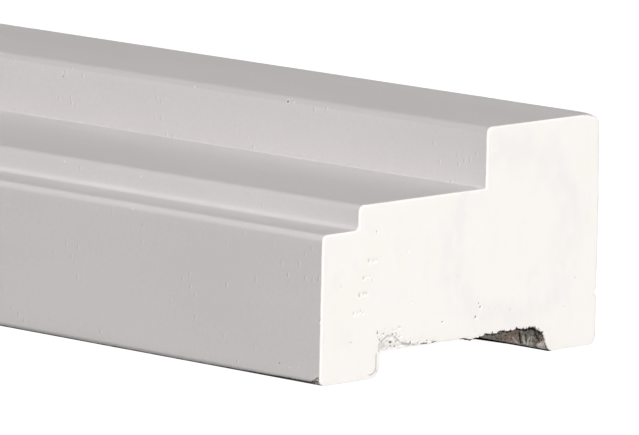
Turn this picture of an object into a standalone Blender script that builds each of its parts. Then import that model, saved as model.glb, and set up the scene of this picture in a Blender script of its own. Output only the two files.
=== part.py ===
"""Window frame profile: a short, square-cut length of primed timber moulding.

The section is drawn in depth and height and run along X. A low front face, a narrow shoulder, the
wide ledge that a sash closes onto and a tall rear upstand follow each other from front to back.
A wide shallow groove hollows the underside and leaves a front and a rear foot to stand on.

Metres, +Z up. The front face looks towards -Y. The origin is on the plane of the feet, under the
middle of the length and of the depth.
"""

import math

import bmesh
import bpy
from mathutils import Vector

# Length of moulding between its two saw cuts
LENGTH = 0.250

# Widths across the section, from the front face to the rear face
SHOULDER_WIDTH = 0.0145
LEDGE_WIDTH = 0.0518
UPSTAND_WIDTH = 0.0477

# Heights, each measured from the surface below it
SHOULDER_HEIGHT = 0.0425
STEP_RISE = 0.007
REBATE_RISE = 0.0175

# Groove in the underside and the feet on either side of it
FRONT_FOOT_WIDTH = 0.0235
REAR_FOOT_WIDTH = 0.020
GROOVE_DEPTH = 0.0075

# Rounding of the worked corners
FACE_ARRIS_RADIUS = 0.002
REAR_TOP_RADIUS = 0.003
FRONT_BOTTOM_RADIUS = 0.0018
REAR_BOTTOM_RADIUS = 0.0025
FRONT_FOOT_INNER_RADIUS = 0.0035
REAR_FOOT_INNER_RADIUS = 0.0015
GROOVE_CORNER_RADIUS = 0.0015
STEP_FILLET_RADIUS = 0.0015
LEDGE_FILLET_RADIUS = 0.001

# How a rounded corner is drawn
ARC_STEPS = 8
LARGEST_EDGE_SHARE = 0.45  # of the shorter edge beside a corner that its arc may take up
WELD_DISTANCE = 0.00001
SMOOTH_UP_TO = math.radians(30)

# Finishes: linear colour and roughness
PRIMER = ((0.69, 0.665, 0.655, 1.0), 0.5)
END_SEALER = ((0.90, 0.875, 0.835, 1.0), 0.42)
BARE_TIMBER = ((0.30, 0.235, 0.185, 1.0), 0.8)


def clear_scene():
    """Removes every object that the scene starts with."""
    for thing in list(bpy.data.objects):
        bpy.data.objects.remove(thing, do_unlink=True)


def section_corners():
    """The section's sharp corners as (place, radius), anticlockwise with y to the right and z up."""
    depth = SHOULDER_WIDTH + LEDGE_WIDTH + UPSTAND_WIDTH
    front = -depth / 2
    step = front + SHOULDER_WIDTH
    stop = step + LEDGE_WIDTH
    rear = depth / 2
    groove_front = front + FRONT_FOOT_WIDTH
    groove_rear = rear - REAR_FOOT_WIDTH

    ledge = SHOULDER_HEIGHT + STEP_RISE
    top = ledge + REBATE_RISE

    return [
        (Vector((front, 0)), FRONT_BOTTOM_RADIUS),
        (Vector((groove_front, 0)), FRONT_FOOT_INNER_RADIUS),
        (Vector((groove_front, GROOVE_DEPTH)), GROOVE_CORNER_RADIUS),
        (Vector((groove_rear, GROOVE_DEPTH)), GROOVE_CORNER_RADIUS),
        (Vector((groove_rear, 0)), REAR_FOOT_INNER_RADIUS),
        (Vector((rear, 0)), REAR_BOTTOM_RADIUS),
        (Vector((rear, top)), REAR_TOP_RADIUS),
        (Vector((stop, top)), FACE_ARRIS_RADIUS),
        (Vector((stop, ledge)), LEDGE_FILLET_RADIUS),
        (Vector((step, ledge)), FACE_ARRIS_RADIUS),
        (Vector((step, SHOULDER_HEIGHT)), STEP_FILLET_RADIUS),
        (Vector((front, SHOULDER_HEIGHT)), FACE_ARRIS_RADIUS),
    ]


def rounded_corner(before, corner, after, radius):
    """Points of the arc that replaces a corner, limited by the edges on either side of it."""
    back = before - corner
    ahead = after - corner
    half_angle = back.angle(ahead) / 2
    room = LARGEST_EDGE_SHARE * min(back.length, ahead.length)
    trim = min(radius / math.tan(half_angle), room)
    reach = trim / math.cos(half_angle)
    centre = corner + reach * (back.normalized() + ahead.normalized()).normalized()

    start = corner + trim * back.normalized() - centre
    end = corner + trim * ahead.normalized() - centre
    turn = math.atan2(start.x * end.y - start.y * end.x, start.dot(end))
    first = math.atan2(start.y, start.x)
    angles = [first + turn * i / ARC_STEPS for i in range(ARC_STEPS + 1)]
    return [centre + start.length * Vector((math.cos(a), math.sin(a))) for a in angles]


def section_outline():
    """The whole section as one closed ring of points, each corner rounded."""
    corners = section_corners()
    points = []
    for i, (corner, radius) in enumerate(corners):
        before = corners[i - 1][0]
        after = corners[(i + 1) % len(corners)][0]
        points += rounded_corner(before, corner, after, radius)
    return points


def section_curve():
    """The section as a filled 2D curve, extruded both ways to the full length."""
    outline = section_outline()
    curve = bpy.data.curves.new("frame_section", "CURVE")
    curve.dimensions = "2D"
    curve.fill_mode = "BOTH"
    curve.extrude = LENGTH / 2
    spline = curve.splines.new("POLY")
    spline.points.add(len(outline) - 1)
    spline.use_cyclic_u = True
    for place, point in zip(outline, spline.points):
        point.co = (place.x, place.y, 0, 1)
    return curve


def closed_mesh(thing, name):
    """The evaluated mesh of a curve object, with its loose end caps welded to the sides."""
    bpy.context.view_layer.update()
    evaluated = thing.evaluated_get(bpy.context.evaluated_depsgraph_get())
    mesh = bpy.data.meshes.new_from_object(evaluated)
    mesh.name = name
    work = bmesh.new()
    work.from_mesh(mesh)
    bmesh.ops.remove_doubles(work, verts=work.verts, dist=WELD_DISTANCE)
    bmesh.ops.recalc_face_normals(work, faces=work.faces)
    work.to_mesh(mesh)
    work.free()
    return mesh


def finish(name, look):
    """A Principled material of one colour and roughness."""
    colour, roughness = look
    material = bpy.data.materials.new(name)
    material.use_nodes = True
    shader = material.node_tree.nodes["Principled BSDF"]
    shader.inputs["Base Color"].default_value = colour
    shader.inputs["Roughness"].default_value = roughness
    shader.inputs["Metallic"].default_value = 0.0
    return material


def apply_finishes(mesh):
    """Primer on the long faces, sealer on the sawn ends and bare timber on the groove's ceiling.

    The section is still flat on its side here: its length is the mesh's own Z, its height Y.
    """
    mesh.materials.append(finish("light_grey_primer", PRIMER))
    mesh.materials.append(finish("warm_white_end_sealer", END_SEALER))
    mesh.materials.append(finish("bare_timber", BARE_TIMBER))
    for face in mesh.polygons:
        is_end = abs(face.normal.z) > 0.5
        is_ceiling = face.normal.y < -0.5 and face.center.y > GROOVE_DEPTH / 2
        face.material_index = 1 if is_end else 2 if is_ceiling else 0


def build_frame_profile(collection):
    """The one solid of the object, stood on its feet with its length along X."""
    drawn = bpy.data.objects.new("frame_section", section_curve())
    drawn.rotation_euler = (math.radians(90), 0, math.radians(90))
    collection.objects.link(drawn)

    mesh = closed_mesh(drawn, "frame_profile")
    apply_finishes(mesh)
    mesh.shade_smooth()
    mesh.set_sharp_from_angle(angle=SMOOTH_UP_TO)
    profile = bpy.data.objects.new("frame_profile", mesh)
    profile.matrix_world = drawn.matrix_world.copy()
    collection.objects.link(profile)

    curve = drawn.data
    bpy.data.objects.remove(drawn, do_unlink=True)
    bpy.data.curves.remove(curve)
    return profile


def main():
    """Clears the scene and builds the profile in its own collection."""
    clear_scene()
    collection = bpy.data.collections.new("window_frame_profile")
    bpy.context.scene.collection.children.link(collection)
    build_frame_profile(collection)


main()
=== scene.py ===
"""Dresses the window frame profile: its primed faces, its bare groove and its sealed sawn ends.

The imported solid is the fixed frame. One finer body of the same section replaces its node, with a
worn groove and torn fibres, and a coat of thick end sealer lies on each sawn end. Lengths are in
metres and the axes are the frame's: X along the moulding, Y from the front face to the rear face,
Z up. The shown end is the one at +X.
"""

import logging
import math
import random
from collections.abc import Callable, Iterable, Sequence
from dataclasses import dataclass, field
from enum import Enum

import bpy
from mathutils import Matrix, Vector, noise
from mathutils.geometry import delaunay_2d_cdt


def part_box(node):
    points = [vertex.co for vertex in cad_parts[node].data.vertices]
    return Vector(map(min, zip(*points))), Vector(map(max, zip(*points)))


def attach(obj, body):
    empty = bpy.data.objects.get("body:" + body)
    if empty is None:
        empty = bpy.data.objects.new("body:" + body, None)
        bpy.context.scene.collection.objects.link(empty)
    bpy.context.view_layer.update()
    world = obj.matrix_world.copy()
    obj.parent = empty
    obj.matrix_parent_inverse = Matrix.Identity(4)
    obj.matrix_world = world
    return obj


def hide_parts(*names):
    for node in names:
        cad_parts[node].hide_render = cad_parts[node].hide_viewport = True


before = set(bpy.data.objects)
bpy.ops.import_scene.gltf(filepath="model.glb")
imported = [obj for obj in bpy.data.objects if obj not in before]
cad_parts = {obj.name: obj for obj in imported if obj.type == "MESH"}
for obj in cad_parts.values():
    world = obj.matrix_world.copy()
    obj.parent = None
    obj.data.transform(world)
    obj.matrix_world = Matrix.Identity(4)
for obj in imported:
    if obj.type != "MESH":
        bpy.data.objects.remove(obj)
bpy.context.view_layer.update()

log = logging.getLogger("frame_profile")

MM = 0.001
BODY = "root"
NODE = "frame_profile"
COAT_THICKNESS = 0.6 * MM
SHARP_ANGLE = math.radians(50)


class End(Enum):
    """One of the moulding's two sawn ends, as the side of X that it is on."""

    SHOWN = 1
    FAR = -1


class Skin(Enum):
    """What covers a face of the timber, as its place in the body's list of materials."""

    PRIMED = 0
    BARE = 1


class CoatPart(Enum):
    """A part of an end's coat of sealer, as its place in the coat's list of materials."""

    FACE = 0
    RIM = 1
    # The rim painted with shade where it faces the rear.
    SHADED_RIM = 2


def smooth(value: float, low: float, high: float) -> float:
    """Rises smoothly from 0 at low to 1 at high, or falls where high is the smaller."""
    share = min(max((value - low) / (high - low), 0.0), 1.0)
    return share * share * (3 - 2 * share)


def ripple(*place: float) -> float:
    """Smooth noise between about -1 and 1 at up to three coordinates."""
    return noise.noise(Vector((*place, 0.0, 0.0)[:3]))


def spike(along: float, seed: float) -> float:
    """Narrow uneven peaks between 0 and 1, about one for each unit along."""
    return max(0.0, 1.0 - 4.0 * abs(ripple(along, seed)))


# Section and outline


@dataclass(frozen=True)
class RimPoint:
    """One point of the section's outline, with the way out of the timber there."""

    place: Vector
    outward: Vector


@dataclass(frozen=True)
class Section:
    """The moulding's section, with y from front to rear and z up, and its rounded corners."""

    front: float
    rear: float
    top: float
    shoulder_width: float = 14.5 * MM
    upstand_width: float = 47.7 * MM
    step_rise: float = 7.0 * MM
    rebate_rise: float = 17.5 * MM
    front_foot_width: float = 23.5 * MM
    rear_foot_width: float = 20.0 * MM
    groove_depth: float = 7.5 * MM
    face_arris: float = 2.0 * MM
    rear_top: float = 3.0 * MM
    front_bottom: float = 1.8 * MM
    rear_bottom: float = 2.5 * MM
    front_foot_inner: float = 3.5 * MM
    rear_foot_inner: float = 1.5 * MM
    groove_corner: float = 1.5 * MM
    step_fillet: float = 1.5 * MM
    ledge_fillet: float = 0.15 * MM
    arc_step: float = math.radians(11)

    @property
    def step(self) -> float:
        """Where the shoulder meets the step up to the ledge."""
        return self.front + self.shoulder_width

    @property
    def stop(self) -> float:
        """Where the ledge meets the upstand."""
        return self.rear - self.upstand_width

    @property
    def ledge(self) -> float:
        """Height of the ledge."""
        return self.top - self.rebate_rise

    @property
    def shoulder(self) -> float:
        """Height of the shoulder."""
        return self.ledge - self.step_rise

    @property
    def groove_front(self) -> float:
        """Where the front foot ends and the groove begins."""
        return self.front + self.front_foot_width

    @property
    def groove_rear(self) -> float:
        """Where the groove ends and the rear foot begins."""
        return self.rear - self.rear_foot_width

    def corners(self) -> list[tuple[Vector, float]]:
        """The sharp corners with their radii, anticlockwise from the bottom of the front face."""
        return [
            (Vector((self.front, 0.0)), self.front_bottom),
            (Vector((self.groove_front, 0.0)), self.front_foot_inner),
            (Vector((self.groove_front, self.groove_depth)), self.groove_corner),
            (Vector((self.groove_rear, self.groove_depth)), self.groove_corner),
            (Vector((self.groove_rear, 0.0)), self.rear_foot_inner),
            (Vector((self.rear, 0.0)), self.rear_bottom),
            (Vector((self.rear, self.top)), self.rear_top),
            (Vector((self.stop, self.top)), self.face_arris),
            (Vector((self.stop, self.ledge)), self.ledge_fillet),
            (Vector((self.step, self.ledge)), self.face_arris),
            (Vector((self.step, self.shoulder)), self.step_fillet),
            (Vector((self.front, self.shoulder)), self.face_arris),
        ]

    def outline(self, spacing: Callable[[Vector], float]) -> list[RimPoint]:
        """The rounded outline as a closed ring.

        Args:
            spacing: the wanted distance between neighbours at a place on a straight edge.

        Returns:
            The ring's points, anticlockwise with y to the right and z up.
        """
        corners = self.corners()
        arcs = [
            self._arc(corners[i - 1][0], *corners[i], corners[(i + 1) % len(corners)][0])
            for i in range(len(corners))
        ]
        ring: list[RimPoint] = []
        for arc, following in zip(arcs, arcs[1:] + arcs[:1]):
            ring += arc
            ring += self._edge(arc[-1], following[0], spacing)
        return ring

    def _arc(self, before: Vector, corner: Vector, radius: float, after: Vector) -> list[RimPoint]:
        """The rounded corner between two edges.

        Args:
            before: the corner before this one.
            corner: this corner.
            radius: the radius of its rounding.
            after: the corner after it.

        Returns:
            The points of the arc, its two ends included.
        """
        back = (before - corner).normalized()
        ahead = (after - corner).normalized()
        centre = corner + radius * (back + ahead)
        start = corner + radius * back - centre
        end = corner + radius * ahead - centre
        turn = math.atan2(start.x * end.y - start.y * end.x, start.dot(end))
        steps = math.ceil(abs(turn) / self.arc_step)
        first = math.atan2(start.y, start.x)
        points = []
        for i in range(steps + 1):
            angle = first + turn * i / steps
            spoke = Vector((math.cos(angle), math.sin(angle)))
            points.append(RimPoint(centre + radius * spoke, spoke * math.copysign(1, turn)))
        return points

    @staticmethod
    def _edge(
        start: RimPoint, end: RimPoint, spacing: Callable[[Vector], float]
    ) -> list[RimPoint]:
        """The points strictly between the ends of a straight edge.

        Args:
            start: the point that the edge starts at.
            end: the point that it ends at.
            spacing: the wanted distance between neighbours at a place.

        Returns:
            The points, without the two ends.
        """
        run = end.place - start.place
        shares = [0.0]
        while shares[-1] < 1.0:
            shares.append(shares[-1] + spacing(start.place + run * shares[-1]) / run.length)
        return [
            RimPoint(start.place + run * (share / shares[-1]), start.outward)
            for share in shares[1:-1]
        ]

    def in_groove(self, place: Vector) -> bool:
        """Whether a place on the outline is on the groove's bare walls or ceiling.

        Args:
            place: a place (y, z) on the outline.

        Returns:
            True where the wood is bare.
        """
        start = self.groove_front - self.front_foot_inner
        end = self.groove_rear + self.rear_foot_inner
        return start < place.x < end and 0.15 * MM < place.y < self.groove_depth + MM

    def holds(self, y: float, z: float, margin: float) -> bool:
        """Whether a square of half-width margin around a place lies inside the section."""
        return all(
            self._holds_point(y + dy, z + dz)
            for dy in (-margin, margin)
            for dz in (-margin, margin)
        )

    def _holds_point(self, y: float, z: float) -> bool:
        """Whether a place lies inside the section with its corners taken as sharp.

        Args:
            y: the place across the moulding.
            z: the height.

        Returns:
            True inside the section.
        """
        over_groove = self.groove_front < y < self.groove_rear
        floor = self.groove_depth if over_groove else 0.0
        roof = self.shoulder if y < self.step else self.ledge if y < self.stop else self.top
        return self.front < y < self.rear and floor < z < roof


# Wear that the body and the end coat share


@dataclass(frozen=True)
class Breakage:
    """The torn edge of the groove's ceiling and the small damage around the shown end."""

    section: Section
    tooth_pitch: float = 2.6 * MM
    tooth_height: float = 0.55 * MM
    fine_pitch: float = 0.7 * MM
    fine_height: float = 0.5 * MM
    tooth_share: float = 0.2
    teeth_from: float = 40.5 * MM
    hang_from: float = 34.5 * MM
    hang: float = 0.55 * MM
    hang_length: float = 9.0 * MM
    splinter_depth: float = 0.46 * MM
    splinter_worst: float = 0.55 * MM
    splinter_worst_at: float = 63.0 * MM
    fill_width: float = 2.1 * MM
    fill_height: float = 1.5 * MM
    fill_reach: float = 6.5 * MM
    nick_height: float = 15.3 * MM
    nick_half_length: float = 1.1 * MM
    nick_depth: float = 1.0 * MM
    bump_height: float = 18.0 * MM
    bump_half_length: float = 0.7 * MM
    bump_rise: float = 0.25 * MM
    lean: float = 0.25 * MM
    drop: float = 0.8 * MM
    drop_reach: float = 6.5 * MM

    def tooth(self, y: float) -> float:
        """How far the coat's torn lower edge stands above the cut ceiling at the shown end.

        Args:
            y: the place across the moulding.

        Returns:
            The distance, below 0 where the coat hangs down.
        """
        along = y - self.section.groove_front
        share = smooth(along, self.teeth_from - 2.5 * MM, self.teeth_from + 2.5 * MM)
        share = self.tooth_share + (1 - self.tooth_share) * share
        teeth = self.tooth_height * spike(y / self.tooth_pitch, 3.1)
        teeth += self.fine_height * spike(y / self.fine_pitch, 7.7)
        hanging = smooth(along, self.hang_from, self.hang_from + 3 * MM)
        hanging *= smooth(along, self.hang_from + self.hang_length, self.hang_from + 6 * MM)
        return self.inside_groove(y) * (share * teeth - hanging * self.hang)

    def splinters(self, y: float) -> float:
        """How far the torn wood hangs below the coat's edge, behind it at the shown end.

        Args:
            y: the place across the moulding.

        Returns:
            The distance downwards.
        """
        along = y - self.section.groove_front
        depth = self.splinter_depth * smooth(along, self.hang_from - 3 * MM, self.hang_from)
        depth *= 1 + 0.5 * ripple(y / (1.1 * MM), 4.4)
        off = (along - self.splinter_worst_at) / (4.5 * MM)
        depth += self.splinter_worst * smooth(abs(off), 1.0, 0.3)
        return self.inside_groove(y) * depth

    def inside_groove(self, y: float) -> float:
        """1 over most of the groove's ceiling, falling to 0 at its corners.

        Args:
            y: the place across the moulding.

        Returns:
            The share, between 0 and 1.
        """
        s = self.section
        share = smooth(y, s.groove_front, s.groove_front + 3 * MM)
        return share * smooth(y, s.groove_rear, s.groove_rear - 1.2 * MM)

    def knock(self, place: Vector) -> float:
        """How far the outline stands out (+) or in (-) at the shown end, beyond the torn ceiling.

        Args:
            place: a place (y, z) on the outline.

        Returns:
            The distance outwards.
        """
        s = self.section
        if place.y > s.top - s.rear_top:
            return -self.drop * smooth(place.x, s.rear - self.drop_reach, s.rear - 1.5 * MM)
        if place.x > s.rear - MM:
            off = (place.y - self.nick_height) / self.nick_half_length
            lean = self.lean + (self.drop - self.lean) * smooth(place.y, 40 * MM, 62 * MM)
            return -lean - self.nick_depth * smooth(abs(off), 1.0, 0.25)
        if place.x < s.front + MM:
            off = (place.y - self.bump_height) / self.bump_half_length
            return self.bump_rise * smooth(abs(off), 1.0, 0.0)
        return 0.0

    def corner_fill(self, place: Vector) -> Vector:
        """How far wood and sealer left in the groove's rear corner stand in from its cut shape.

        Args:
            place: a place (y, z) on the outline.

        Returns:
            The shift (y, z) of the surface there.
        """
        s = self.section
        across = s.groove_rear - place.x
        if not s.in_groove(place) or across > self.fill_reach:
            return Vector((0.0, 0.0))
        down = min(max((s.groove_depth - place.y) / s.groove_depth, 0.0), 1.0)
        inwards = self.fill_width * (1 - down**1.5) * smooth(across, self.fill_reach, MM)
        downwards = self.fill_height * smooth(across, self.fill_reach, 2.2 * MM)
        downwards *= smooth(down, 0.95, 0.05)
        rough = 1 + 0.3 * ripple(place.x / (0.9 * MM), place.y / (0.9 * MM), 6.0)
        return Vector((-inwards, -downwards)) * rough

    def is_ceiling(self, point: RimPoint) -> bool:
        """Whether a point of the outline is on the groove's ceiling, its corners included."""
        s = self.section
        return s.in_groove(point.place) and point.place.y > s.groove_depth - s.groove_corner


# Mesh building


@dataclass
class Shell:
    """A mesh under construction, as vertices and faces with a material each."""

    vertices: list[Vector] = field(default_factory=list)
    faces: list[Sequence[int]] = field(default_factory=list)
    skins: list[int] = field(default_factory=list)

    def add_ring(self, points: Iterable[Vector]) -> list[int]:
        """Adds a ring's vertices.

        Args:
            points: the vertices, in order.

        Returns:
            Their numbers.
        """
        first = len(self.vertices)
        self.vertices.extend(points)
        return list(range(first, len(self.vertices)))

    def join_rings(
        self, near: Sequence[int], far: Sequence[int], skin: Callable[[int], int]
    ) -> None:
        """Joins two rings of equal count with a band of quads.

        Args:
            near: the ring that the band starts from.
            far: the ring that it ends on, further along the way that turns the faces outwards.
            skin: the material number of the quad that starts at a place in the ring.
        """
        count = len(near)
        for i in range(count):
            j = (i + 1) % count
            self.faces.append((near[i], near[j], far[j], far[i]))
            self.skins.append(skin(i))

    def fill(
        self,
        rim: Sequence[int],
        inner: Sequence[Vector],
        lift: Callable[[float, float], float],
        end: End,
        skin: int,
    ) -> None:
        """Closes a rim with triangles through inner points.

        Args:
            rim: the vertex numbers of the closed rim, anticlockwise seen from +X.
            inner: places (y, z) inside the rim that the triangles run through.
            lift: the x of the face at a place (y, z).
            end: the end that the face looks out of.
            skin: the material number of the face.
        """
        flat = [self.vertices[i].yz for i in rim]
        loop = [list(range(len(flat)))]
        places, _, triangles, sources, _, owners = delaunay_2d_cdt(
            flat + list(inner), [], loop, 0, 1e-7, True
        )
        numbers = []
        for place, origin in zip(places, sources):
            on_rim = next((i for i in origin if i < len(flat)), None)
            if on_rim is not None:
                numbers.append(rim[on_rim])
                continue
            numbers.append(len(self.vertices))
            self.vertices.append(Vector((lift(place.x, place.y), place.x, place.y)))
        for triangle, owner in zip(triangles, owners):
            if not owner:
                continue
            corners = [numbers[i] for i in triangle]
            self.faces.append(corners if end is End.SHOWN else corners[::-1])
            self.skins.append(skin)

    def piece(self, name: str, materials: Sequence[bpy.types.Material]) -> bpy.types.Object:
        """Makes the mesh object, shaded smooth, with no loose vertices.

        Args:
            name: the name of the object and its mesh.
            materials: its materials, in the order of their numbers.

        Returns:
            The object, in the scene.
        """
        used = sorted({i for face in self.faces for i in face})
        fresh = {old: new for new, old in enumerate(used)}
        mesh = bpy.data.meshes.new(name)
        faces = [[fresh[i] for i in face] for face in self.faces]
        mesh.from_pydata([self.vertices[i] for i in used], [], faces)
        for material in materials:
            mesh.materials.append(material)
        mesh.polygons.foreach_set("material_index", self.skins)
        mesh.shade_smooth()
        mesh.set_sharp_from_angle(angle=SHARP_ANGLE)
        mesh.update()
        piece = bpy.data.objects.new(name, mesh)
        bpy.context.scene.collection.objects.link(piece)
        return piece


# Shader maths


class Value:
    """An output socket that takes part in Python expressions on numbers."""

    def __init__(self, socket: bpy.types.NodeSocket) -> None:
        """Wraps a socket."""
        self.socket = socket

    def _with(self, operation: str, first: "Value | float", *others: "Value | float") -> "Value":
        """Adds one Math node over the given values.

        Args:
            operation: the node's operation.
            first: its first value.
            others: its other values.

        Returns:
            The node's result.
        """
        node = self.socket.id_data.nodes.new("ShaderNodeMath")
        node.operation = operation
        for slot, value in zip(node.inputs, (first, *others)):
            feed(slot, value)
        return Value(node.outputs[0])

    def __add__(self, other: "Value | float") -> "Value":
        """Sum."""
        return self._with("ADD", self, other)

    def __radd__(self, other: float) -> "Value":
        """Sum with the number first."""
        return self._with("ADD", other, self)

    def __sub__(self, other: "Value | float") -> "Value":
        """Difference."""
        return self._with("SUBTRACT", self, other)

    def __rsub__(self, other: float) -> "Value":
        """Difference with the number first."""
        return self._with("SUBTRACT", other, self)

    def __mul__(self, other: "Value | float") -> "Value":
        """Product."""
        return self._with("MULTIPLY", self, other)

    def __rmul__(self, other: float) -> "Value":
        """Product with the number first."""
        return self._with("MULTIPLY", other, self)

    def __truediv__(self, other: "Value | float") -> "Value":
        """Quotient."""
        return self._with("DIVIDE", self, other)

    def __abs__(self) -> "Value":
        """Size without sign."""
        return self._with("ABSOLUTE", self)

    def greatest(self, other: "Value | float") -> "Value":
        """The larger of two values."""
        return self._with("MAXIMUM", self, other)

    def least(self, other: "Value | float") -> "Value":
        """The smaller of two values."""
        return self._with("MINIMUM", self, other)


def feed(slot: bpy.types.NodeSocket, value: "Value | float | Sequence[float]") -> None:
    """Links a value to an input socket, or sets the socket to a constant.

    Args:
        slot: the input socket.
        value: the value to link, or the constant.
    """
    if isinstance(value, Value):
        slot.id_data.links.new(value.socket, slot)
    else:
        slot.default_value = value


class Nodes:
    """A node tree that nodes are added to."""

    def __init__(self, tree: bpy.types.NodeTree) -> None:
        """Wraps a node tree."""
        self.tree = tree

    def add(
        self,
        kind: str,
        settings: dict | None = None,
        inputs: dict | None = None,
        output: int | str = 0,
    ) -> Value:
        """Adds a node.

        Args:
            kind: the node's type.
            settings: its own settings, such as its operation, which are set first.
            inputs: values or links by input name or number.
            output: the output wanted.

        Returns:
            The wanted output.
        """
        node = self.tree.nodes.new(kind)
        for name, value in (settings or {}).items():
            setattr(node, name, value)
        for name, value in (inputs or {}).items():
            feed(node.inputs[name], value)
        return Value(node.outputs[output])


class Recipe(Nodes):
    """One material's node tree, with the few kinds of node that its finish is mixed from."""

    def __init__(self, name: str) -> None:
        """Starts a material with its Principled shader and its coordinates in millimetres.

        Args:
            name: the material's name.
        """
        self.material = bpy.data.materials.new(name)
        self.material.use_nodes = True
        super().__init__(self.material.node_tree)
        self.shader = self.tree.nodes["Principled BSDF"]
        metres = self.add("ShaderNodeTexCoord", output="Object")
        self.place = self.add(
            "ShaderNodeVectorMath", {"operation": "SCALE"}, {0: metres, "Scale": 1 / MM}
        )
        self.x, self.y, self.z = (
            self.add("ShaderNodeSeparateXYZ", {}, {0: self.place}, axis) for axis in "XYZ"
        )

    def stretched(self, x: float, y: float, z: float) -> Value:
        """The place divided by a grain size in millimetres along each axis."""
        sizes = (1 / x, 1 / y, 1 / z)
        return self.add("ShaderNodeVectorMath", {"operation": "MULTIPLY"}, {0: self.place, 1: sizes})

    def cloud(self, at: Value, detail: float = 2.0, rough: float = 0.5) -> Value:
        """Soft noise around 0.5 at a stretched place."""
        inputs = {"Vector": at, "Scale": 1.0, "Detail": detail, "Roughness": rough}
        return self.add("ShaderNodeTexNoise", {}, inputs, 0)

    def rise(self, value: Value, low: float, high: float) -> Value:
        """0 up to low and 1 from high, smooth between, or falling where high is the smaller.

        Args:
            value: the value that it follows.
            low: the value that gives 0.
            high: the value that gives 1.

        Returns:
            The share, between 0 and 1.
        """
        ends = (low, high, 0.0, 1.0) if low < high else (high, low, 1.0, 0.0)
        names = ("From Min", "From Max", "To Min", "To Max")
        inputs = {"Value": value, **dict(zip(names, ends))}
        return self.add("ShaderNodeMapRange", {"interpolation_type": "SMOOTHSTEP"}, inputs)

    def blend(self, share: Value | float, first: Value | tuple, second: Value | tuple) -> Value:
        """A colour between two, by share."""
        settings = {"data_type": "RGBA", "clamp_factor": True}
        return self.add("ShaderNodeMix", settings, {0: share, 6: first, 7: second}, 2)

    def relief(self, height: Value, strength: float, depth: float) -> None:
        """Feeds the shader's normal from a height, with depth in metres at a height of one."""
        inputs = {"Strength": strength, "Distance": depth, "Height": height}
        feed(self.shader.inputs["Normal"], self.add("ShaderNodeBump", {}, inputs))

    def finish(self, colour: Value, roughness: Value | float) -> bpy.types.Material:
        """Feeds colour and roughness to the shader.

        Args:
            colour: the base colour.
            roughness: the roughness.

        Returns:
            The material.
        """
        feed(self.shader.inputs["Base Color"], colour)
        feed(self.shader.inputs["Roughness"], roughness)
        return self.material


Colour = tuple[float, float, float, float]


# Finishes


@dataclass(frozen=True)
class Streak:
    """A thin streak of colour on a face, between two places given across and up in millimetres."""

    from_across: float
    from_up: float
    to_across: float
    to_up: float
    half_width: float
    strength: float

    def share(self, r: Recipe, across: Value) -> Value:
        """How much of the streak shows at each place, by its distance from the streak's line.

        Args:
            r: the recipe that the nodes are added to.
            across: the place across the face, in millimetres.

        Returns:
            The streak's share of the colour.
        """
        run = self.to_across - self.from_across
        rise = self.to_up - self.from_up
        off_across = across - self.from_across
        off_up = r.z - self.from_up
        along = (off_across * run + off_up * rise) / (run * run + rise * rise)
        along = along.greatest(0.0).least(1.0)
        off_across = off_across - along * run
        off_up = off_up - along * rise
        reach = self.half_width**2
        away = off_across * off_across + off_up * off_up
        return r.rise(away, reach, 0.3 * reach) * self.strength


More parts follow.
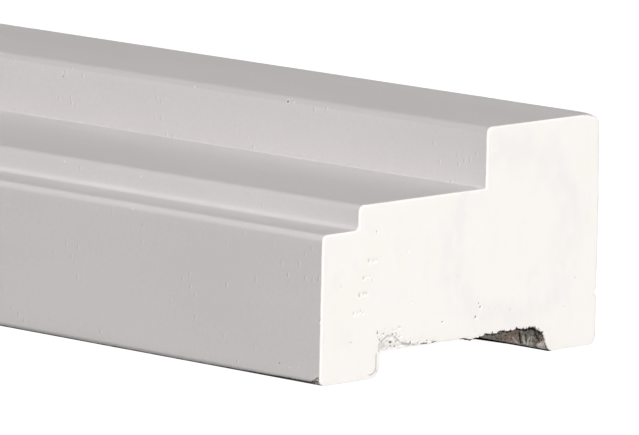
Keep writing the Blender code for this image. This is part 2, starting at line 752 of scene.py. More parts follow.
@dataclass(frozen=True)
class Primer:
    """Light warm grey primer sprayed over planed timber, with nibs, ticks and chips at the front
    foot, and painted light and shade on its ticks, nibs and rounded edges and along the front foot's
    bottom edge.
    """

    end_x: float
    colour: Colour = (0.672, 0.646, 0.640, 1.0)
    thin: Colour = (0.652, 0.626, 0.618, 1.0)
    # The pale and the dark grey below are painted highlight and painted shade, for the lit and
    # shaded sides of ticks and nibs.
    light: Colour = (0.830, 0.800, 0.790, 1.0)
    shade: Colour = (0.330, 0.305, 0.300, 1.0)
    # The near-black below is painted shade along the front face's bottom edge, and one dark speck.
    grime_and_shade: Colour = (0.060, 0.052, 0.050, 1.0)
    chip: Colour = (0.780, 0.760, 0.720, 1.0)
    # The darker grey below is painted shade, laid over the rounded edges listed next to take out the
    # light band that they catch.
    worn: Colour = (0.560, 0.535, 0.530, 1.0)
    shaded_arrises: tuple[tuple[float, float, float], ...] = ((9.3, 67.0, 0.85), (-42.5, 49.5, 0.4))
    roughness: float = 0.78
    gloss: float = 0.12

    def material(self) -> bpy.types.Material:
        """Builds the finish.

        Returns:
            The material.
        """
        r = Recipe("light_grey_primer")
        feed(r.shader.inputs["Specular IOR Level"], self.gloss)
        back = self.end_x / MM - r.x
        drift = r.cloud(r.stretched(55.0, 20.0, 20.0), 1.0)
        peel = r.cloud(r.stretched(0.9, 0.9, 0.9), 2.0)
        colour = r.blend(r.rise(drift + (peel - 0.5) * 0.9, 0.3, 0.7), self.thin, self.colour)

        # Painted shade: each listed rounded edge (y, z, strength) is darkened towards that grey,
        # against the highlight on its rounding.
        for y, z, shade_share in self.shaded_arrises:
            across = r.y - y
            up = r.z - z
            near = r.rise(across * across + up * up, 4.2, 1.2)
            colour = r.blend(near * shade_share, colour, self.worn)

        patchy = r.cloud(r.stretched(16.0, 14.0, 14.0), 1.0)
        near_end = r.rise(back, 40.0, 12.0) * r.rise(r.z, 18.0, 26.0)
        shown = r.rise(patchy + near_end * 0.14, 0.54, 0.62)
        # Painted highlight and painted shade: each tick gets a pale stroke and, 0.42 mm along X, a
        # dark stroke, as the lit and shaded sides of a raised tick.
        lit = self.ticks(r, 0.0) * shown
        shaded = self.ticks(r, 0.42) * shown
        colour = r.blend(lit * 0.65, colour, self.light)
        colour = r.blend(shaded * 0.32, colour, self.shade)
        colour = self.with_specks(r, colour)
        r.relief(peel * 0.3 + lit, 0.4, 0.05 * MM)

        # Painted shade: a dark band along the bottom of the front face, where its rounding turns
        # under, wider and more ragged towards the shown end; the finish is rougher there too.
        ragged = r.cloud(r.stretched(3.2, 2.0, 2.0), 3.0, 0.65)
        upper = 0.42 + r.rise(back, 60.0, 2.0) * 0.55 + (ragged - 0.5) * 0.9
        upper = upper + r.rise(back, 4.0, 0.8) * ragged * 3.0
        foot_line_shade = r.rise(r.z - upper, 0.18, -0.12) * r.rise(r.y, -53.0, -55.0)
        colour = r.blend(foot_line_shade * 0.92, colour, self.grime_and_shade)
        crumbs = r.cloud(r.stretched(0.5, 0.5, 0.5), 2.0, 0.6)
        chipped = r.rise(crumbs, 0.50, 0.55) * r.rise(back, 4.5, 2.0) * r.rise(r.z, 4.2, 2.6)
        colour = r.blend(chipped * 0.9, colour, self.chip)
        return r.finish(colour, self.roughness + foot_line_shade * 0.2)

    @staticmethod
    def ticks(r: Recipe, shift: float) -> Value:
        """Short upright ticks scattered over the faces.

        Args:
            r: the recipe to add them to.
            shift: how far along X they are moved, in millimetres.

        Returns:
            Each tick's strength, between 0 and 1, and 0 between the ticks.
        """
        across = (r.x + shift) * 0.42
        up = (r.z + r.y) * 0.17
        at = r.add("ShaderNodeCombineXYZ", {}, {0: across, 1: up})
        inputs = {"Vector": at, "Scale": 1.0, "Randomness": 1.0}
        flat = {"voronoi_dimensions": "2D"}
        cells = r.add("ShaderNodeTexVoronoi", flat, inputs, "Distance")
        kinds = r.add("ShaderNodeTexVoronoi", flat, inputs, "Color")
        strength = r.add("ShaderNodeSeparateColor", {}, {0: kinds}, "Red")
        normal = r.add("ShaderNodeNewGeometry", output="Normal")
        flatness = abs(r.add("ShaderNodeSeparateXYZ", {}, {0: normal}, "Z"))
        upright = r.rise(flatness, 0.5, 0.2)
        return r.rise(cells, 0.15, 0.09) * r.rise(strength, 0.35, 0.95) * upright

    def with_specks(self, r: Recipe, colour: Value) -> Value:
        """Adds single dark or light specks: painted highlights and shadows of small nibs, and one
        dark speck.

        Args:
            r: the recipe that the nodes are added to.
            colour: the colour without them.

        Returns:
            The colour with them.
        """
        for along, y, z, radius, tint in self.specks():
            centre = (self.end_x / MM - along, y, z)
            inputs = {0: r.place, 1: centre}
            away = r.add("ShaderNodeVectorMath", {"operation": "DISTANCE"}, inputs, 1)
            colour = r.blend(r.rise(away, radius, 0.4 * radius) * 0.8, colour, tint)
        return colour

    def specks(self) -> list[tuple[float, float, float, float, Colour]]:
        """The specks, as (back from the shown end, y, z, radius, colour), in millimetres; the pale
        and the shade ones are painted highlights and shadows of nibs.
        """
        return [
            (79.0, 9.5, 65.5, 0.95, self.light),
            (79.0, 9.5, 65.5, 0.60, self.grime_and_shade),
            (76.5, 9.5, 65.5, 0.45, self.light),
            (119.1, 9.3, 66.2, 0.40, self.light),
            (117.0, 9.3, 65.7, 0.50, self.light),
            (172.1, 9.3, 63.7, 0.45, self.light),
            (171.8, 9.3, 62.6, 0.40, self.shade),
            (117.8, -42.5, 48.2, 0.50, self.light),
            (86.4, -42.5, 47.6, 0.45, self.light),
            (75.2, -57.0, 41.0, 0.50, self.light),
            (12.1, -57.0, 3.9, 0.40, self.light),
            (8.6, -57.0, 4.3, 0.42, self.light),
            (16.0, -57.0, 4.6, 0.40, self.shade),
        ]


@dataclass(frozen=True)
class EndSealer:
    """Thick warm-white sealer brushed over end grain, painted greyer and then near-black the deeper
    its face lies: painted shade in its pinholes and hollows, which also hold some soiling.
    """

    end: End
    face_x: float
    ring_centre: tuple[float, float] = (20.0, 35.0)
    ring_radius: float = 25.0
    colour: Colour = (0.945, 0.910, 0.880, 1.0)
    warm: Colour = (0.940, 0.900, 0.855, 1.0)
    grey: Colour = (0.900, 0.870, 0.850, 1.0)
    # The grey and the near-black below tint the face by its depth below the coat: painted shade in
    # pinholes and hollows, with soiling; the near-black also marks a few dark streaks.
    thin: Colour = (0.700, 0.670, 0.645, 1.0)
    dirt_and_shade: Colour = (0.150, 0.145, 0.130, 1.0)
    # The mid grey below is painted shade on the rim where it faces the rear, away from the light.
    edge: Colour = (0.500, 0.485, 0.480, 1.0)
    # The greenish grey below is painted shade in the line along the front foot's rounding, and
    # staining and painted shade in the streaks of the torn patch.
    stain_and_shade: Colour = (0.420, 0.440, 0.410, 1.0)
    crease_centre: tuple[float, float] = (-37.0, 3.5)
    crease_radius: float = 2.3
    roughness: float = 0.42

    def materials(self) -> list[bpy.types.Material]:
        """Builds the finish once for each part of the coat."""
        return [self.material(part) for part in CoatPart]

    def material(self, part: CoatPart) -> bpy.types.Material:
        """Builds the finish of one part of the coat.

        Args:
            part: the part of the coat.

        Returns:
            The material.
        """
        r = Recipe(f"warm_white_sealer_{self.end.name.lower()}_{part.name.lower()}")
        mottle = r.cloud(r.stretched(14.0, 11.0, 16.0), 2.0)
        patch = r.cloud(r.stretched(7.0, 6.0, 9.0), 3.0, 0.6)
        fine = r.cloud(r.stretched(0.9, 0.9, 1.4), 3.0, 0.6)
        r.relief(mottle * 0.6 + fine * 0.4, 0.5, 0.05 * MM)
        colour = r.blend(r.rise(mottle, 0.42, 0.62), self.colour, self.warm)
        colour = r.blend(self.growth_ring(r, mottle) * r.rise(patch, 0.3, 0.6), colour, self.grey)
        colour = r.blend(r.rise(patch, 0.55, 0.75) * 0.5, colour, self.grey)
        if part is CoatPart.FACE:
            depth = (self.face_x / MM - r.x) * self.end.value
            # Painted shade by depth: greyer in shallow hollows, near-black at the bottom of deeper
            # pinholes and torn hollows.
            colour = r.blend(r.rise(depth, 0.06, 0.14) * 0.8, colour, self.thin)
            colour = r.blend(r.rise(depth, 0.15, 0.30) * 0.9, colour, self.dirt_and_shade)
            if self.end is End.SHOWN:
                colour = self.with_marks(r, colour)
        elif part is CoatPart.SHADED_RIM:
            # Painted shade on the rim that faces the rear and over the rear top corner.
            colour = r.blend(0.35 + r.rise(patch, 0.4, 0.6) * 0.5, colour, self.edge)
        return r.finish(colour, self.roughness + (fine - 0.5) * 0.15)

    def with_marks(self, r: Recipe, colour: Value) -> Value:
        """Adds painted shade along the front foot's inner rounding, and streaks of soiling and
        painted shade in the torn patch.

        Args:
            r: the recipe that the nodes are added to.
            colour: the colour without them.

        Returns:
            The colour with them.
        """
        # Painted shade: a dark line along the front foot's inner rounding, where the coat turns away
        # from the light.
        middle, height = self.crease_centre
        across = r.y - middle
        up = r.z.least(height) - height
        away = across * across + up * up
        near = abs(away - self.crease_radius**2)
        crease_shade = r.rise(near, 1.6, 0.4) * r.rise(r.z, 7.6, 6.4) * r.rise(across, -1.5, 0.5)
        colour = r.blend(crease_shade * 0.7, colour, self.stain_and_shade)
        soft = r.cloud(r.stretched(0.6, 0.6, 0.6), 2.0, 0.7)
        # Painted shade and soiling: grey and near-black streaks in the torn patch and along its
        # broken edge.
        for mark in self.marks():
            share = mark.share(r, r.y + 57.0 + (soft - 0.5) * 1.5)
            colour = r.blend(share, colour, self.stain_and_shade if mark.strength < 1 else self.dirt_and_shade)
        return colour

    @staticmethod
    def marks() -> list[Streak]:
        """Scratches in the torn patch, from the front face and up, in millimetres, coloured as
        soiling and as painted shade on the rough sealer and under its broken lower edge.
        """
        return [
            Streak(24.0, 9.0, 24.5, 9.0, 1.50, 0.40),
            Streak(26.5, 8.8, 31.0, 8.8, 1.40, 0.16),
            Streak(24.0, 10.2, 26.8, 11.6, 0.40, 0.55),
            Streak(26.8, 11.6, 29.0, 11.4, 0.35, 0.45),
            Streak(29.5, 11.0, 31.4, 9.7, 0.40, 0.65),
            Streak(25.6, 10.0, 27.6, 10.1, 0.22, 0.45),
            Streak(32.5, 8.9, 35.5, 8.2, 0.55, 0.80),
            Streak(35.5, 8.2, 38.5, 7.8, 0.35, 0.55),
            Streak(27.8, 9.7, 28.1, 9.6, 0.38, 1.00),
            Streak(40.5, 7.8, 42.8, 7.8, 0.22, 1.00),
            Streak(45.0, 7.8, 46.5, 7.8, 0.22, 1.00),
            Streak(11.2, 11.3, 12.4, 11.3, 0.25, 0.35),
        ]

    def growth_ring(self, r: Recipe, mottle: Value) -> Value:
        """How much of a broad growth ring shows through the coat at each place.

        Args:
            r: the recipe that the nodes are added to.
            mottle: the noise that bends the ring.

        Returns:
            The ring's share of the colour.
        """
        flat = r.add("ShaderNodeCombineXYZ", {}, {1: r.y, 2: r.z})
        centre = (0.0, *self.ring_centre)
        radius = r.add("ShaderNodeVectorMath", {"operation": "DISTANCE"}, {0: flat, 1: centre}, 1)
        wide = radius + (mottle - 0.5) * 16.0
        inside = r.rise(wide, self.ring_radius - 9, self.ring_radius)
        return inside * r.rise(wide, self.ring_radius + 8, self.ring_radius)


@dataclass(frozen=True)
class BareTimber:
    """Bare mottled hardwood in the groove, with torn grain along X, sealer run onto its end, and
    painted shade just behind the end's coat and along the foot of its walls.
    """

    end_x: float
    olive: Colour = (0.520, 0.485, 0.415, 1.0)
    reddish: Colour = (0.620, 0.470, 0.385, 1.0)
    brown: Colour = (0.290, 0.190, 0.140, 1.0)
    dark: Colour = (0.060, 0.050, 0.042, 1.0)
    pale: Colour = (0.950, 0.920, 0.860, 1.0)
    smear: Colour = (0.960, 0.900, 0.895, 1.0)
    # The near-black below is painted shade.
    black: Colour = (0.012, 0.010, 0.009, 1.0)
    roughness: float = 0.8
    gloss: float = 0.25

    def material(self) -> bpy.types.Material:
        """Builds the finish.

        Returns:
            The material.
        """
        r = Recipe("bare_hardwood")
        feed(r.shader.inputs["Specular IOR Level"], self.gloss)
        back = self.end_x / MM - r.x
        streak = r.cloud(r.stretched(6.0, 0.7, 0.7), 3.0, 0.65)
        mottle = r.cloud(r.stretched(1.1, 0.7, 0.7), 3.0, 0.7)
        speck = r.cloud(r.stretched(0.6, 0.45, 0.45), 2.0, 0.7)
        r.relief(streak * 0.5 + mottle * 0.5, 1.0, 0.3 * MM)

        hue = r.rise(back + (mottle - 0.5) * 6.0, 20.0, 16.0)
        hue = hue * r.rise(back + (mottle - 0.5) * 4.0, 10.5, 12.5)
        colour = r.blend(hue, self.olive, self.reddish)
        band = r.rise(back + (streak - 0.5) * 2.0, 6.4, 5.4)
        colour = r.blend(band * 0.85, colour, self.brown)
        colour = r.blend(r.rise(mottle * 0.7 + streak * 0.3, 0.49, 0.40) * 0.85, colour, self.dark)
        colour = r.blend(r.rise(speck, 0.54, 0.63) * 0.85, colour, self.pale)
        rear = r.rise(r.y, 30.0, 34.0)
        # Painted shade in the gaps between the torn fibres near the rear wall.
        for crack_shadow in self.crack_shadows():
            colour = r.blend(crack_shadow.share(r, back) * rear, colour, self.dark)
        for fibre in self.fibres():
            colour = r.blend(fibre.share(r, back) * rear, colour, self.pale)
        limit = 3.9 - back * 0.62 + (streak - 0.5) * 1.6
        smeared = r.rise(r.z - limit, 0.3, -0.3) * r.rise(back, 5.2, 4.2) * rear
        scratch = r.cloud(r.stretched(0.45, 3.0, 2.2), 1.0)
        smeared = smeared * r.rise(scratch, 0.68, 0.58)
        colour = r.blend(smeared * 0.95, colour, self.smear)
        # Painted shade: near-black on the wood just behind the end's coat, where it shows under the
        # coat's torn edge, and along the bottom of the groove's walls.
        shaded = r.rise(back, 1.15, 0.85).greatest(r.rise(r.z, 0.32, 0.12))
        colour = r.blend(shaded, colour, self.black)
        return r.finish(colour, self.roughness)

    @staticmethod
    def fibres() -> list[Streak]:
        """The pale fibres that stand out on the rear wall."""
        return [
            Streak(14.0, 2.0, 12.5, 0.7, 0.45, 1.0),
            Streak(10.0, 2.7, 9.5, 1.2, 0.60, 1.0),
            Streak(7.5, 3.0, 8.5, 0.7, 0.35, 1.0),
            Streak(6.5, 3.3, 7.0, 0.7, 0.25, 0.6),
            Streak(17.5, 3.0, 17.5, 2.5, 0.35, 0.6),
            Streak(11.0, 4.2, 10.5, 4.0, 0.30, 0.7),
        ]

    @staticmethod
    def crack_shadows() -> list[Streak]:
        """Painted shade in the gaps between the torn fibres."""
        return [
            Streak(11.5, 3.6, 11.0, 1.0, 0.50, 0.9),
            Streak(9.0, 3.4, 8.6, 1.5, 0.30, 0.9),
            Streak(5.0, 4.5, 3.5, 2.5, 0.45, 0.8),
        ]


# Pieces


@dataclass
class PrimedBody:
    """The length of timber: primed all round but for the groove, where the wood is bare."""

    section: Section
    breakage: Breakage
    shown_x: float
    far_x: float
    coarse: float = 1.5 * MM
    groove_step: float = 0.28 * MM
    nick_step: float = 0.3 * MM
    first_slice: float = 0.3 * MM
    slice_growth: float = 1.13
    longest_slice: float = 2.2 * MM
    tear_length: float = 3.2 * MM
    furrow: float = 0.16 * MM
    waver: float = 0.045 * MM

    def spacing(self, place: Vector) -> float:
        """Distance between neighbouring points of the outline at a place.

        Args:
            place: a place (y, z) on the outline.

        Returns:
            The distance.
        """
        s = self.section
        if s.in_groove(place):
            return self.groove_step
        near_nick = abs(place.y - self.breakage.nick_height) < 3 * MM and place.x > s.rear - MM
        return self.nick_step if near_nick else self.coarse

    def slices(self) -> list[float]:
        """Spaces the cross-sections, closest at the shown end.

        Returns:
            The places along X.
        """
        back = []
        travelled = 0.0
        gap = self.first_slice
        length = self.shown_x - self.far_x
        while travelled < length - self.longest_slice / 2:
            back.append(self.shown_x - travelled)
            travelled += gap
            gap = min(gap * self.slice_growth, self.longest_slice)
        return [self.far_x, *reversed(back)]

    def surface_point(self, point: RimPoint, x: float) -> Vector:
        """Where a point of the outline lies on the worn body at a distance along it.

        Args:
            point: the point of the outline.
            x: the place along the moulding.

        Returns:
            The place on the worn surface.
        """
        place = point.place
        y, z = place
        out = self.waver * ripple(x / (23 * MM), y / (11 * MM), z / (11 * MM))
        if self.section.in_groove(place):
            grain = ripple(x / (16 * MM), y / (0.9 * MM), z / (0.9 * MM))
            grain += 0.6 * ripple(x / (6 * MM), y / (0.5 * MM) + 9.0, z / (0.5 * MM))
            out += self.furrow * grain
        near_end = math.exp(-(self.shown_x - x) / self.tear_length)
        if near_end > 0.01:
            if self.breakage.is_ceiling(point):
                slanted = y + 0.3 * (self.shown_x - x)
                out -= near_end * (self.breakage.tooth(slanted) - self.breakage.splinters(y))
            else:
                out += near_end**2 * self.breakage.knock(place)
        spot = place + point.outward * out
        if near_end > 0.01:
            spot += near_end * self.breakage.corner_fill(place)
        return Vector((x, spot.x, max(spot.y, 0.0)))

    def skin_at(self, ring: Sequence[RimPoint], i: int) -> int:
        """The material of the quad that starts at a place in the ring."""
        middle = (ring[i].place + ring[(i + 1) % len(ring)].place) / 2
        return (Skin.BARE if self.section.in_groove(middle) else Skin.PRIMED).value

    def build(self, materials: Sequence[bpy.types.Material]) -> bpy.types.Object:
        """Builds the body.

        Args:
            materials: the materials of Skin, in its order.

        Returns:
            The body's object.
        """
        ring = self.section.outline(self.spacing)
        skins = [self.skin_at(ring, i) for i in range(len(ring))]
        shell = Shell()
        slices = [
            shell.add_ring(self.surface_point(point, x) for point in ring)
            for x in self.slices()
        ]
        for near, far in zip(slices, slices[1:]):
            shell.join_rings(near, far, skins.__getitem__)
        shell.fill(slices[0], [], lambda y, z: self.far_x, End.FAR, Skin.BARE.value)
        shell.fill(slices[-1], [], lambda y, z: self.shown_x, End.SHOWN, Skin.BARE.value)
        return shell.piece("primed_body", materials)


@dataclass(frozen=True)
class Pit:
    """One pinhole in the sealer, taller than it is wide."""

    y: float
    z: float
    half_width: float
    half_height: float
    depth: float

    def share(self, y: float, z: float) -> float:
        """How deep the pinhole is at a place, from 0 outside it to 1 at its bottom.

        Args:
            y: the place across the moulding.
            z: the height.

        Returns:
            The share of its full depth.
        """
        away = math.hypot((y - self.y) / self.half_width, (z - self.z) / self.half_height)
        if away > 1.5:
            return 0.0
        ragged = 1 + 0.35 * ripple(y / (0.4 * MM), z / (0.4 * MM), 3.0)
        return smooth(away * ragged, 1.0, 0.3)


@dataclass
class EndCoat:
    """The coat of sealer over one sawn end, with its brush marks, pinholes and broken edge."""

    section: Section
    breakage: Breakage
    end: End
    face_x: float
    body_x: float
    proud: float = 0.05 * MM
    arris: float = 0.45 * MM
    broken_arris: float = 0.10 * MM
    foot_arris: float = 0.05 * MM
    arris_rings: int = 5
    lip: float = 0.12 * MM
    lip_waver: float = 0.12 * MM
    lip_pitch: float = 2.3 * MM
    feather: float = 0.12 * MM
    tuck: float = 0.15 * MM
    rim_step: float = 0.5 * MM
    torn_step: float = 0.17 * MM
    face_step: float = 0.85 * MM
    patch_step: float = 0.22 * MM
    brush: float = 0.03 * MM
    patch_lumps: float = 0.10 * MM
    patch_specks: float = 0.8 * MM
    deepest: float = 0.48 * MM
    seed: int = 11
    scattered_pits: int = 9
    pit_half_width: float = 0.42 * MM
    pit_half_height: float = 0.62 * MM
    pits: list[Pit] = field(default_factory=list)

    def __post_init__(self) -> None:
        """Places the shown end's pinholes and scatters a few small ones on either end."""
        self.dice = random.Random(self.seed + self.end.value)
        if self.end is End.SHOWN:
            for across, up in self.growth_ring():
                self.add_cluster(across, up)
            for across, up, size in self.lone_holes():
                self.add_pit(across, up, size)
        for _ in range(self.scattered_pits):
            self.add_pit(self.dice.uniform(5, 109), self.dice.uniform(12, 60), 0.4)

    @staticmethod
    def growth_ring() -> list[tuple[float, float]]:
        """Where clusters of pinholes follow a growth ring, in millimetres from the front face."""
        return [(19.9, 33.6), (17.9, 28.8), (16.4, 24.4), (14.2, 19.2)]

    @staticmethod
    def lone_holes() -> list[tuple[float, float, float]]:
        """Lone pinholes as (from the front face, height, size), in millimetres and of a full one."""
        return [
            (21.6, 41.6, 0.7),
            (22.7, 12.9, 0.9),
            (64.8, 15.8, 1.1),
            (64.2, 16.9, 0.6),
            (62.9, 13.1, 1.1),
            (49.2, 13.1, 0.8),
            (36.2, 20.0, 0.5),
            (54.8, 25.6, 0.5),
        ]

    def add_pit(self, across: float, up: float, size: float, depth: float = 0.4) -> None:
        """Adds a pinhole, by lengths in millimetres, unless it lies too near the rim.

        Args:
            across: its distance from the front face.
            up: its height.
            size: its size, as a share of a full one.
            depth: its depth.
        """
        y, z = self.section.front + across * MM, up * MM
        if self.section.holds(y, z, 2 * MM):
            half_width = self.pit_half_width * size * self.dice.uniform(0.8, 1.2)
            half_height = self.pit_half_height * size * self.dice.uniform(0.8, 1.3)
            self.pits.append(Pit(y, z, half_width, half_height, depth * MM))

    def add_cluster(self, across: float, up: float) -> None:
        """Adds three or four pinholes in a short uneven row, the first the largest.

        Args:
            across: the row's distance from the front face, in millimetres.
            up: its height, in millimetres.
        """
        self.add_pit(across - 1.3, up + self.dice.uniform(-0.3, 0.3), 1.4, 0.18)
        for along in (0.4, 1.5, 2.3)[: self.dice.choice((2, 3))]:
            rise = self.dice.uniform(-0.6, 0.6)
            self.add_pit(across + along, up + rise, self.dice.uniform(0.9, 1.3), 0.12)

    def patch_share(self, y: float, z: float) -> float:
        """How torn the coat is at a place: 1 in the rough patch over the groove's front.

        Args:
            y: the place across the moulding.
            z: the height.

        Returns:
            The share, between 0 and 1.
        """
        if self.end is not End.SHOWN:
            return 0.0
        s = self.section
        along = (y - s.groove_front) / MM
        height = 0.6 + 4.6 * smooth(along, 12.0, 7.0) + 1.3 * smooth(along, 26.0, 10.0)
        up = (z - s.groove_depth) / MM
        edge = 0.45 * ripple(y / (1.6 * MM), z / (1.3 * MM), 2.0)
        inside = smooth(up / height + edge, 1.0, 0.75)
        return inside * smooth(along, -2.0, -0.6) * smooth(along, 31.0, 24.0)

    def relief(self, y: float, z: float) -> float:
        """How far the coat's face stands out (+) or in (-) at a place.

        Args:
            y: the place across the moulding.
            z: the height.

        Returns:
            The distance outwards.
        """
        strokes = ripple(y / (2.0 * MM), z / (9 * MM), 1.0)
        strokes += 0.7 * ripple(y / (6 * MM), z / (17 * MM), 5.0)
        out = self.brush * strokes
        torn = self.patch_share(y, z)
        if torn > 0:
            lumps = ripple(y / (1.2 * MM), z / (0.9 * MM), 4.0) - 0.5
            specks = max(0.0, ripple(y / (0.75 * MM), z / (0.5 * MM), 8.0) - 0.22)
            out += torn * (self.patch_lumps * lumps - self.patch_specks * specks)
        out -= sum(pit.depth * pit.share(y, z) for pit in self.pits)
        return max(out, -self.deepest)

    def spacing(self, place: Vector) -> float:
        """Distance between neighbouring points of the rim."""
        torn = self.end is End.SHOWN and self.section.in_groove(place)
        return self.torn_step if torn else self.rim_step

    def rim_base(self, point: RimPoint) -> Vector:
        """The coat's side at a point of the outline: proud of the timber, or broken away.

        Args:
            point: the point of the outline.

        Returns:
            The place (y, z) of the coat's side.
        """
        out = self.proud
        fill = Vector((0.0, 0.0))
        if self.end is End.SHOWN:
            if self.breakage.is_ceiling(point):
                out -= self.breakage.tooth(point.place.x)
            else:
                out += self.breakage.knock(point.place)
            fill = self.breakage.corner_fill(point.place)
        spot = point.place + point.outward * out + fill
        return Vector((spot.x, max(spot.y, 0.0)))

    def rim_radius(self, point: RimPoint) -> float:
        """How softly the coat turns over the end's arris at a point of the outline.

        Args:
            point: the point of the outline.

        Returns:
            The radius.
        """
        if point.outward.y < -0.9 and point.place.y < MM:
            return self.foot_arris
        broken = self.end is End.SHOWN and self.section.in_groove(point.place)
        return self.broken_arris if broken else self.arris

    def inner_places(self) -> list[Vector]:
        """The places that the face's triangles run through.

        Returns:
            Places (y, z), denser in the torn patch and around each pinhole.
        """
        s = self.section
        places = self.scatter(s.front, s.rear, 0.0, s.top, self.face_step)
        places = [p for p in places if self.patch_share(*p) <= 0.02]
        if self.end is End.SHOWN:
            reach = (s.groove_front - 2.5 * MM, s.groove_rear)
            fine = self.scatter(*reach, s.groove_depth, s.groove_depth + 8 * MM, self.patch_step)
            places += [p for p in fine if self.patch_share(*p) > 0.02]
        for pit in self.pits:
            places += self.pit_places(pit)
        return places

    def scatter(
        self, y_from: float, y_to: float, z_from: float, z_to: float, step: float
    ) -> list[Vector]:
        """A slightly uneven grid of places that lie inside the section.

        Args:
            y_from: where the grid starts across the moulding.
            y_to: where it ends.
            z_from: the height it starts at.
            z_to: the height it ends at.
            step: the distance between neighbours.

        Returns:
            The places (y, z), clear of the rim by a little more than the rounded arris.
        """
        places = []
        for row in range(int((z_to - z_from) / step) + 1):
            for column in range(int((y_to - y_from) / step) + 1):
                y = y_from + (column + 0.5 * (row % 2) + self.dice.uniform(-0.18, 0.18)) * step
                z = z_from + (row + self.dice.uniform(-0.18, 0.18)) * step
                if self.clear_of_rim(y, z):
                    places.append(Vector((y, z)))
        return places

    def clear_of_rim(self, y: float, z: float) -> bool:
        """Whether a place is far enough inside the section, its torn ceiling included.

        Args:
            y: the place across the moulding.
            z: the height.

        Returns:
            True where a place keeps clear of the rim.
        """
        s = self.section
        if self.end is End.SHOWN and s.groove_front - 2 * MM < y < s.groove_rear + 2 * MM:
            low = s.groove_depth + max(0.0, self.breakage.tooth(y)) + 0.25 * MM
            return z > low and s.holds(y, z, 0.2 * MM) and s.holds(y, z + 0.6 * MM, 0.1 * MM)
        return s.holds(y, z, 0.7 * MM)

    def pit_places(self, pit: Pit) -> list[Vector]:
        """Rings of places around one pinhole, so that its form is kept.

        Args:
            pit: the pinhole.

        Returns:
            The places (y, z) that are clear of the rim.
        """
        places = []
        for share in (0.0, 0.3, 0.6, 0.85, 1.15):
            for i in range(8 if share else 1):
                angle = math.tau * (i + 0.5 * (share > 0.5)) / 8
                y = pit.y + share * pit.half_width * math.cos(angle)
                z = pit.z + share * pit.half_height * math.sin(angle)
                if self.clear_of_rim(y, z):
                    places.append(Vector((y, z)))
        return places

    def bands(self, ring: Sequence[RimPoint]) -> list[list[Vector]]:
        """The coat's cross-sections, from its lip on the timber to the start of its face.

        Args:
            ring: the section's outline.

        Returns:
            One list of places for each cross-section.
        """
        side = self.end.value
        base = [self.rim_base(p) for p in ring]
        inner = [b - p.outward * (self.proud + self.tuck) for p, b in zip(ring, base)]
        bands = [[], []]
        for point, outer, tucked in zip(ring, base, inner):
            y, z = point.place
            lip = self.lip + self.lip_waver * ripple(y / self.lip_pitch, z / self.lip_pitch)
            bands[0].append(Vector((self.body_x - side * lip, *tucked)))
            bands[1].append(Vector((self.body_x - side * (lip - self.feather), *outer)))
        for k in range(self.arris_rings + 1):
            angle = math.radians(90) * k / self.arris_rings
            bands.append([self.arris_point(p, b, angle) for p, b in zip(ring, base)])
        return bands

    def arris_point(self, point: RimPoint, base: Vector, angle: float) -> Vector:
        """A place on the coat's rounded arris, from its side at angle 0 to its face at 90 degrees.

        Args:
            point: the point of the outline.
            base: the place (y, z) of the coat's side there.
            angle: how far round the arris, in radians.

        Returns:
            The place.
        """
        radius = self.rim_radius(point)
        spot = base - point.outward * radius * (1 - math.cos(angle))
        out = self.relief(*spot) * math.sin(angle)
        return Vector((self.face_x + self.end.value * (out - radius * (1 - math.sin(angle))), *spot))

    def rim_part(self, point: RimPoint) -> CoatPart:
        """Which part of the coat its rim is at a point of the outline: painted with shade where it
        faces back.

        Args:
            point: the point of the outline.

        Returns:
            The part.
        """
        s = self.section
        if s.in_groove(point.place):
            return CoatPart.RIM
        over_corner = point.place.x > s.rear - 7 * MM
        return CoatPart.SHADED_RIM if point.outward.x > 0.35 or over_corner else CoatPart.RIM

    def build(self, materials: Sequence[bpy.types.Material]) -> bpy.types.Object:
        """Builds the coat.

        Args:
            materials: the materials of CoatPart, in its order.

        Returns:
            The coat's object.
        """
        side = self.end.value
        shell = Shell()
        outline = self.section.outline(self.spacing)
        rim = [self.rim_part(point).value for point in outline]
        rings = [shell.add_ring(band) for band in self.bands(outline)]
        for near, far in zip(rings, rings[1:]):
            pair = (near, far) if self.end is End.SHOWN else (far, near)
            shell.join_rings(*pair, rim.__getitem__)
        inward = End.FAR if self.end is End.SHOWN else End.SHOWN
        back_x = self.body_x - side * self.lip
        shell.fill(rings[0], [], lambda y, z: back_x, inward, CoatPart.RIM.value)
        shell.fill(
            rings[-1],
            self.inner_places(),
            lambda y, z: self.face_x + side * self.relief(y, z),
            self.end,
            CoatPart.FACE.value,
        )
        return shell.piece(f"{self.end.name.lower()}_end_sealer", materials)


# Studio


def grey(level: float) -> Colour:
    """A neutral colour of a given level."""
    return (level, level, level, 1.0)


def way_out(azimuth: float, elevation: float) -> Vector:
    """The way out from the object at an azimuth from its front towards +X, in degrees.

    Args:
        azimuth: the angle around the object.
        elevation: the angle above the floor.

    Returns:
        The unit vector.
    """
    a, e = math.radians(azimuth), math.radians(elevation)
    return Vector((math.sin(a) * math.cos(e), -math.cos(a) * math.cos(e), math.sin(e)))


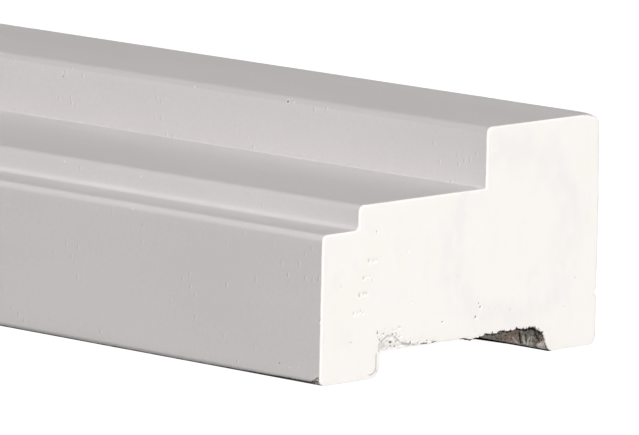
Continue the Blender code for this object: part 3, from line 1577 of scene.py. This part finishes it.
@dataclass(frozen=True)
class Viewpoint:
    """Where the photograph was taken from, with angles in degrees, and its lens."""

    azimuth: float = 43.83
    elevation: float = 8.76
    roll: float = 1.22
    distance: float = 2.393
    focal_length: float = 477.7
    aim_from_end: tuple[float, float, float] = (-30.54 * MM, -26.96 * MM, 41.05 * MM)

    def build(self, end_x: float) -> None:
        """Adds the camera.

        Args:
            end_x: the x of the shown end.
        """
        back = way_out(self.azimuth, self.elevation)
        level = way_out(self.azimuth + 90, 0.0)
        upright = back.cross(level)
        roll = math.radians(self.roll)
        right = math.cos(roll) * level + math.sin(roll) * upright
        up = math.cos(roll) * upright - math.sin(roll) * level
        aim = Vector((end_x, 0.0, 0.0)) + Vector(self.aim_from_end)
        turned = Matrix((right, up, back)).transposed()
        data = bpy.data.cameras.new("photo_camera")
        data.lens = self.focal_length
        camera = bpy.data.objects.new("photo_camera", data)
        camera.matrix_world = Matrix.Translation(aim + self.distance * back) @ turned.to_4x4()
        bpy.context.scene.collection.objects.link(camera)
        bpy.context.scene.camera = camera


@dataclass(frozen=True)
class Softbox:
    """One large soft lamp, aimed at the object, with angles in degrees."""

    name: str
    azimuth: float
    elevation: float
    power: float
    distance: float = 10.0
    size: float = 7.2

    def build(self) -> None:
        """Adds the lamp."""
        back = way_out(self.azimuth, self.elevation)
        data = bpy.data.lights.new(self.name, "AREA")
        data.shape = "DISK"
        data.size = self.size
        data.energy = self.power
        lamp = bpy.data.objects.new(self.name, data)
        lamp.location = back * self.distance
        lamp.rotation_mode = "QUATERNION"
        lamp.rotation_quaternion = back.to_track_quat("Z", "Y")
        bpy.context.scene.collection.objects.link(lamp)


@dataclass(frozen=True)
class Studio:
    """A plain pale floor under soft light."""

    section: Section
    end_x: float
    floor_half: float = 12.0
    floor_gap: float = 0.01 * MM
    floor_glow: float = 0.975
    floor_grey: float = 0.16
    shade_begins: float = 14.0
    shade_slope: float = 0.125
    least_shade: float = 0.2
    sky: float = 0.13
    ground: float = 0.22
    horizon: tuple[float, float] = (-0.1, 0.2)
    lamps: tuple[Softbox, ...] = (
        Softbox("front_softbox", 40.0, 35.0, 600.0),
        Softbox("end_softbox", 65.0, 18.0, 695.0),
        Softbox("high_softbox", 120.0, 60.0, 80.0),
        Softbox("rear_softbox", 175.0, 3.0, 300.0, size=1.0),
        Softbox("far_softbox", 275.0, 3.0, 220.0, size=1.0),
    )

    def build(self) -> None:
        """Adds the floor, the lamps and the world."""
        self.add_floor()
        self.add_world()
        for lamp in self.lamps:
            lamp.build()
        bpy.context.scene.view_settings.view_transform = "Standard"

    def add_floor(self) -> None:
        """Adds a floor that stays pale but for the deep shade inside the groove."""
        h, z = self.floor_half, -self.floor_gap
        mesh = bpy.data.meshes.new("floor")
        corners = [(-h, -h, z), (h, -h, z), (h, h, z), (-h, h, z)]
        mesh.from_pydata(corners, [], [(0, 1, 2, 3)])
        mesh.materials.append(self.floor_material())
        floor = bpy.data.objects.new("floor", mesh)
        floor.visible_diffuse = False
        floor.visible_glossy = False
        bpy.context.scene.collection.objects.link(floor)

    def floor_material(self) -> bpy.types.Material:
        """The floor's finish: bright of itself, and dark along the foot of the groove's rear wall.

        Returns:
            The material.
        """
        r = Recipe("pale_floor")
        in_from_end = self.end_x / MM - abs(r.x)
        from_wall = self.section.groove_rear / MM - r.y
        reach = ((in_from_end - self.shade_begins) * self.shade_slope).greatest(self.least_shade)
        inside = r.rise(in_from_end, -0.2, 0.3) * r.rise(from_wall, -3.0, -2.5)
        shade = r.rise(from_wall - reach, 0.25, -0.25) * inside
        feed(r.shader.inputs["Specular IOR Level"], 0.0)
        glow = r.blend(shade, grey(self.floor_glow), grey(0.0))
        feed(r.shader.inputs["Emission Color"], glow)
        feed(r.shader.inputs["Emission Strength"], 1.0)
        return r.finish(r.blend(shade, grey(self.floor_grey), grey(0.0)), 1.0)

    def add_world(self) -> None:
        """Adds a world with a dim sky and a brighter ground."""
        world = bpy.data.worlds.new("soft_world")
        world.use_nodes = True
        nodes = Nodes(world.node_tree)
        way = nodes.add("ShaderNodeTexCoord", output="Generated")
        low, high = self.horizon
        inputs = {
            "Value": nodes.add("ShaderNodeSeparateXYZ", {}, {0: way}, "Z"),
            "From Min": low,
            "From Max": high,
            "To Min": self.ground,
            "To Max": self.sky,
        }
        background = nodes.tree.nodes["Background"]
        feed(background.inputs["Strength"], nodes.add("ShaderNodeMapRange", {}, inputs))
        feed(background.inputs["Color"], grey(1.0))
        bpy.context.scene.world = world


def main() -> None:
    """Builds every piece in order, then the studio and the camera."""
    logging.basicConfig(level=logging.INFO, format="%(name)s: %(message)s")
    low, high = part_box(NODE)
    section = Section(front=low.y, rear=high.y, top=high.z)
    breakage = Breakage(section)

    timber = BareTimber(end_x=high.x).material()
    body = PrimedBody(section, breakage, high.x - COAT_THICKNESS, low.x + COAT_THICKNESS)
    body_piece = body.build([Primer(high.x).material(), timber])
    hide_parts(NODE)
    pieces = [body_piece]

    for end, face_x in ((End.SHOWN, high.x), (End.FAR, low.x)):
        body_x = face_x - end.value * COAT_THICKNESS
        coat = EndCoat(section, breakage, end, face_x, body_x)
        piece = coat.build(EndSealer(end, face_x).materials())
        pieces.append(piece)

    for piece in pieces:
        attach(piece, BODY)
        log.info("%s: %d faces", piece.name, len(piece.data.polygons))

    Studio(section, high.x).build()
    Viewpoint().build(high.x)


if __name__ == "__main__":
    main()
